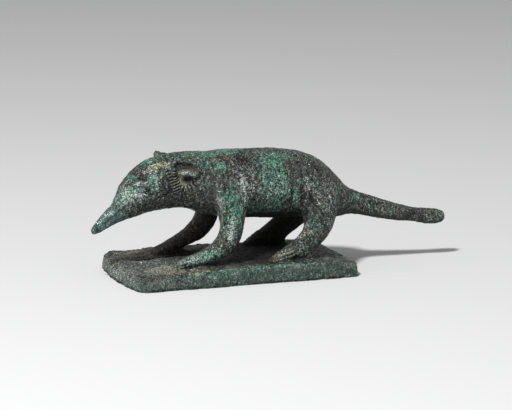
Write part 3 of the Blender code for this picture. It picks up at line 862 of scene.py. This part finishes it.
coarse = grain_noise(2.6, detail=5, roughness=0.62, shift=1.0)
middle = grain_noise(1.1, detail=5, roughness=0.68, shift=2.0)
fine = grain_noise(0.52, detail=4, roughness=0.7, shift=3.0)
dust = grain_noise(0.26, detail=2, roughness=0.5, shift=4.0)
cloud = grain_noise(4.5, detail=4, roughness=0.6, shift=5.0)
combed = nodes.new("ShaderNodeMapping")
combed.inputs["Rotation"].default_value = (0, STREAK_LEAN, 0)
combed.inputs["Scale"].default_value = (1, 1, STREAK_STRETCH)
links.new(coordinates, combed.inputs["Vector"])
streaks = grain_noise(0.42, detail=3, roughness=0.6, shift=6.0, over=combed.outputs["Vector"])
flake, flake_tone = scales(0.38, wander=0.32)
polish = painted("polish")
calm = painted("calm")
quiet = painted("quiet")
ash_and_glints = painted("ash_and_glints")
earth_and_shade = painted("earth_and_shade")
painted_shade = painted("painted_shade")
speckled = plus(times(middle, 0.5), times(streaks, 0.5))
mildness = minus(1.0, times(quiet, EVEN_SPECKS))
speckled = plus(times(minus(speckled, 0.5), mildness), 0.5)


def broken(strength, spread, low, high):
    """A painted patch whose edge is broken up by the specks."""
    return step(plus(strength, times(minus(speckled, 0.5), spread)), low, high)


# Each crust, with the painted shade and glints among them, is laid over the ones before it.
BLACK_BRONZE = (0.040, 0.040, 0.037)
BROWN_BRONZE = (0.066, 0.062, 0.052)
GREY_GREEN = (0.076, 0.122, 0.102)
DARK_UMBER_AND_SHADE = (0.017, 0.013, 0.015)
DULL_TEAL = (0.040, 0.088, 0.078)
DEEP_GREEN = (0.042, 0.100, 0.074)
PALE_GREEN = (0.092, 0.168, 0.130)
CLEAR_GREEN = (0.032, 0.122, 0.076)
TAN_CLAY = (0.188, 0.184, 0.132)
PALE_ASH_AND_GLINT = (0.150, 0.195, 0.168)
RED_CUPRITE = (0.080, 0.030, 0.022)
EARTH_AND_SHADE_BROWN = (0.046, 0.038, 0.029)
PLINTH_GREEN = (0.066, 0.104, 0.092)
SNOUT_GREEN = (0.110, 0.170, 0.160)
FLAKE_SHARE = 0.12
EARTH_AND_SHADE_COVER = 0.9
CALM_COVER = 0.5
POLISH_COVER = 0.5

color = tint(BLACK_BRONZE, BROWN_BRONZE, step(cloud, 0.46, 0.62))
verdigris = step(plus(speckled, times(flake, FLAKE_SHARE)), 0.50, 0.70)
verdigris = times(verdigris, step(cloud, 0.60, 0.42, 0.35, 1.0))
color = tint(color, GREY_GREEN, verdigris)
# Umber, which also paints shade in the ear's hollows, under the belly and on the plinth.
color = tint(color, DARK_UMBER_AND_SHADE, broken(painted("umber_and_shade"), 2.0, 0.25, 0.75))
color = tint(color, DULL_TEAL, broken(painted("teal"), 2.4, 0.30, 0.75))
green_mask = broken(painted("malachite"), 2.8, 0.28, 0.72)
green = tint(DEEP_GREEN, PALE_GREEN, step(coarse, 0.40, 0.62))
green = tint(green, CLEAR_GREEN, step(flake_tone, 0.70, 0.95))
color = tint(color, green, green_mask)
color = tint(color, TAN_CLAY, broken(painted("tan"), 3.2, 0.34, 0.80))
# Pale ash, which also paints the glints and highlights listed with it.
color = tint(color, PALE_ASH_AND_GLINT, broken(ash_and_glints, 3.4, 0.34, 0.90))
color = tint(color, RED_CUPRITE, broken(painted("cuprite"), 2.0, 0.42, 0.80))
# Earth, and painted shade on the legs' inner faces and in the channel.
color = tint(color, EARTH_AND_SHADE_BROWN, times(earth_and_shade, EARTH_AND_SHADE_COVER))
color = tint(color, PLINTH_GREEN, times(calm, CALM_COVER))
color = tint(color, SNOUT_GREEN, times(polish, POLISH_COVER))

# Fine light and dark over all the crusts, in powers of two. It is milder on the snout, on the
# plinth's sides and where the crust is even.
STREAK_CONTRAST = 7.5
FINE_CONTRAST = 5.5
DUST_CONTRAST = 7.5
FLAKE_CONTRAST = 1.2
POLISH_EVENNESS = 0.8
CALM_EVENNESS = 0.5
QUIET_EVENNESS = 0.6
OVERALL_LIFT = 0.12
SATURATION = 1.12

octaves = times(minus(streaks, 0.5), STREAK_CONTRAST)
octaves = plus(octaves, times(minus(fine, 0.5), FINE_CONTRAST))
octaves = plus(octaves, times(minus(dust, 0.5), DUST_CONTRAST))
octaves = plus(octaves, times(minus(flake, 0.5), FLAKE_CONTRAST))
even = plus(times(polish, POLISH_EVENNESS), times(calm, CALM_EVENNESS))
even = combined("MAXIMUM", even, times(quiet, QUIET_EVENNESS))
octaves = times(octaves, minus(1.0, even))
octaves = times(octaves, step(coarse, 0.38, 0.62, 1.3, 0.65))
octaves = plus(octaves, OVERALL_LIFT)
contrast = nodes.new("ShaderNodeHueSaturation")
contrast.inputs["Saturation"].default_value = SATURATION
links.new(color, contrast.inputs["Color"])
links.new(combined("POWER", 2.0, octaves), contrast.inputs["Value"])
color = contrast.outputs["Color"]

# Salt specks and painted glints, dirt in the cuts, rubbed ridges, and painted shade.
SALT_AND_GLINT_WHITE = (0.50, 0.58, 0.53)
GLINT_WHITE = (0.80, 0.85, 0.81)
CUT_DIRT = (0.012, 0.011, 0.010)
RUBBED_METAL = (0.30, 0.34, 0.31)
SHADE_BLACK = (0.008, 0.007, 0.007)
SALT_AND_GLINT_COVER = 0.8
SPECKS_UNDER_EARTH_AND_SHADE = 0.55
DIRT_COVER = 0.7
RUBBED_COVER = 0.35
SHADE_COVER = 0.9

# Pale salt specks, which also stand in for glints.
salt_and_glints = times(step(dust, 0.55, 0.63), step(speckled, 0.47, 0.57))
salt_and_glints = times(salt_and_glints, minus(SALT_AND_GLINT_COVER, times(earth_and_shade, SPECKS_UNDER_EARTH_AND_SHADE)))
color = tint(color, SALT_AND_GLINT_WHITE, salt_and_glints)
# Painted glints: near white specks on the ash places.
glints = times(ash_and_glints, step(plus(dust, times(flake, FLAKE_SHARE)), 0.57, 0.64))
color = tint(color, GLINT_WHITE, glints)
color = tint(color, CUT_DIRT, times(painted("hollow"), DIRT_COVER))
color = tint(color, RUBBED_METAL, times(painted("proud"), RUBBED_COVER))
# Painted shade, near black, under and between the parts.
color = tint(color, SHADE_BLACK, times(painted_shade, SHADE_COVER))
links.new(color, shader.inputs["Base Color"])

# The gloss: waxy where the grain is high and on single flakes, duller under the painted shade,
# and least like metal where malachite covers it.
SHINE = 0.35
BARE_METAL = 0.35
GREEN_OVER_METAL = 0.30
FLAKE_GLOSS = 0.13
POLISH_GLOSS = 0.12
SHADE_DULLNESS = 0.35

roughness = step(middle, 0.40, 0.64, 0.38, 0.24)
roughness = minus(roughness, step(flake_tone, 0.62, 0.90, 0.0, FLAKE_GLOSS))
roughness = minus(roughness, times(polish, POLISH_GLOSS))
roughness = plus(roughness, times(painted_shade, SHADE_DULLNESS))
links.new(roughness, shader.inputs["Roughness"])
links.new(minus(BARE_METAL, times(green_mask, GREEN_OVER_METAL)), shader.inputs["Metallic"])
shader.inputs["Specular IOR Level"].default_value = SHINE

# The relief too small to carve: the same grains, raised a little where malachite grows.
RELIEF_DEPTH = 0.6
FINE_RELIEF = 0.6
DUST_RELIEF = 0.25
STREAK_RELIEF = 0.6
MIDDLE_RELIEF = 1.3
GREEN_RELIEF = 0.1
POLISH_FLATNESS = 0.7

height = plus(times(fine, FINE_RELIEF), times(dust, DUST_RELIEF))
height = plus(height, times(streaks, STREAK_RELIEF))
height = plus(height, times(middle, MIDDLE_RELIEF))
height = plus(height, times(green_mask, GREEN_RELIEF))
height = times(height, minus(1.0, times(polish, POLISH_FLATNESS)))
bump = nodes.new("ShaderNodeBump")
bump.inputs["Strength"].default_value = 1.0
bump.inputs["Distance"].default_value = RELIEF_DEPTH * MM
links.new(height, bump.inputs["Height"])
links.new(bump.outputs["Normal"], shader.inputs["Normal"])

mesh.materials.clear()
mesh.materials.append(bronze)
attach(casting, "root")
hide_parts("shrew_figure")
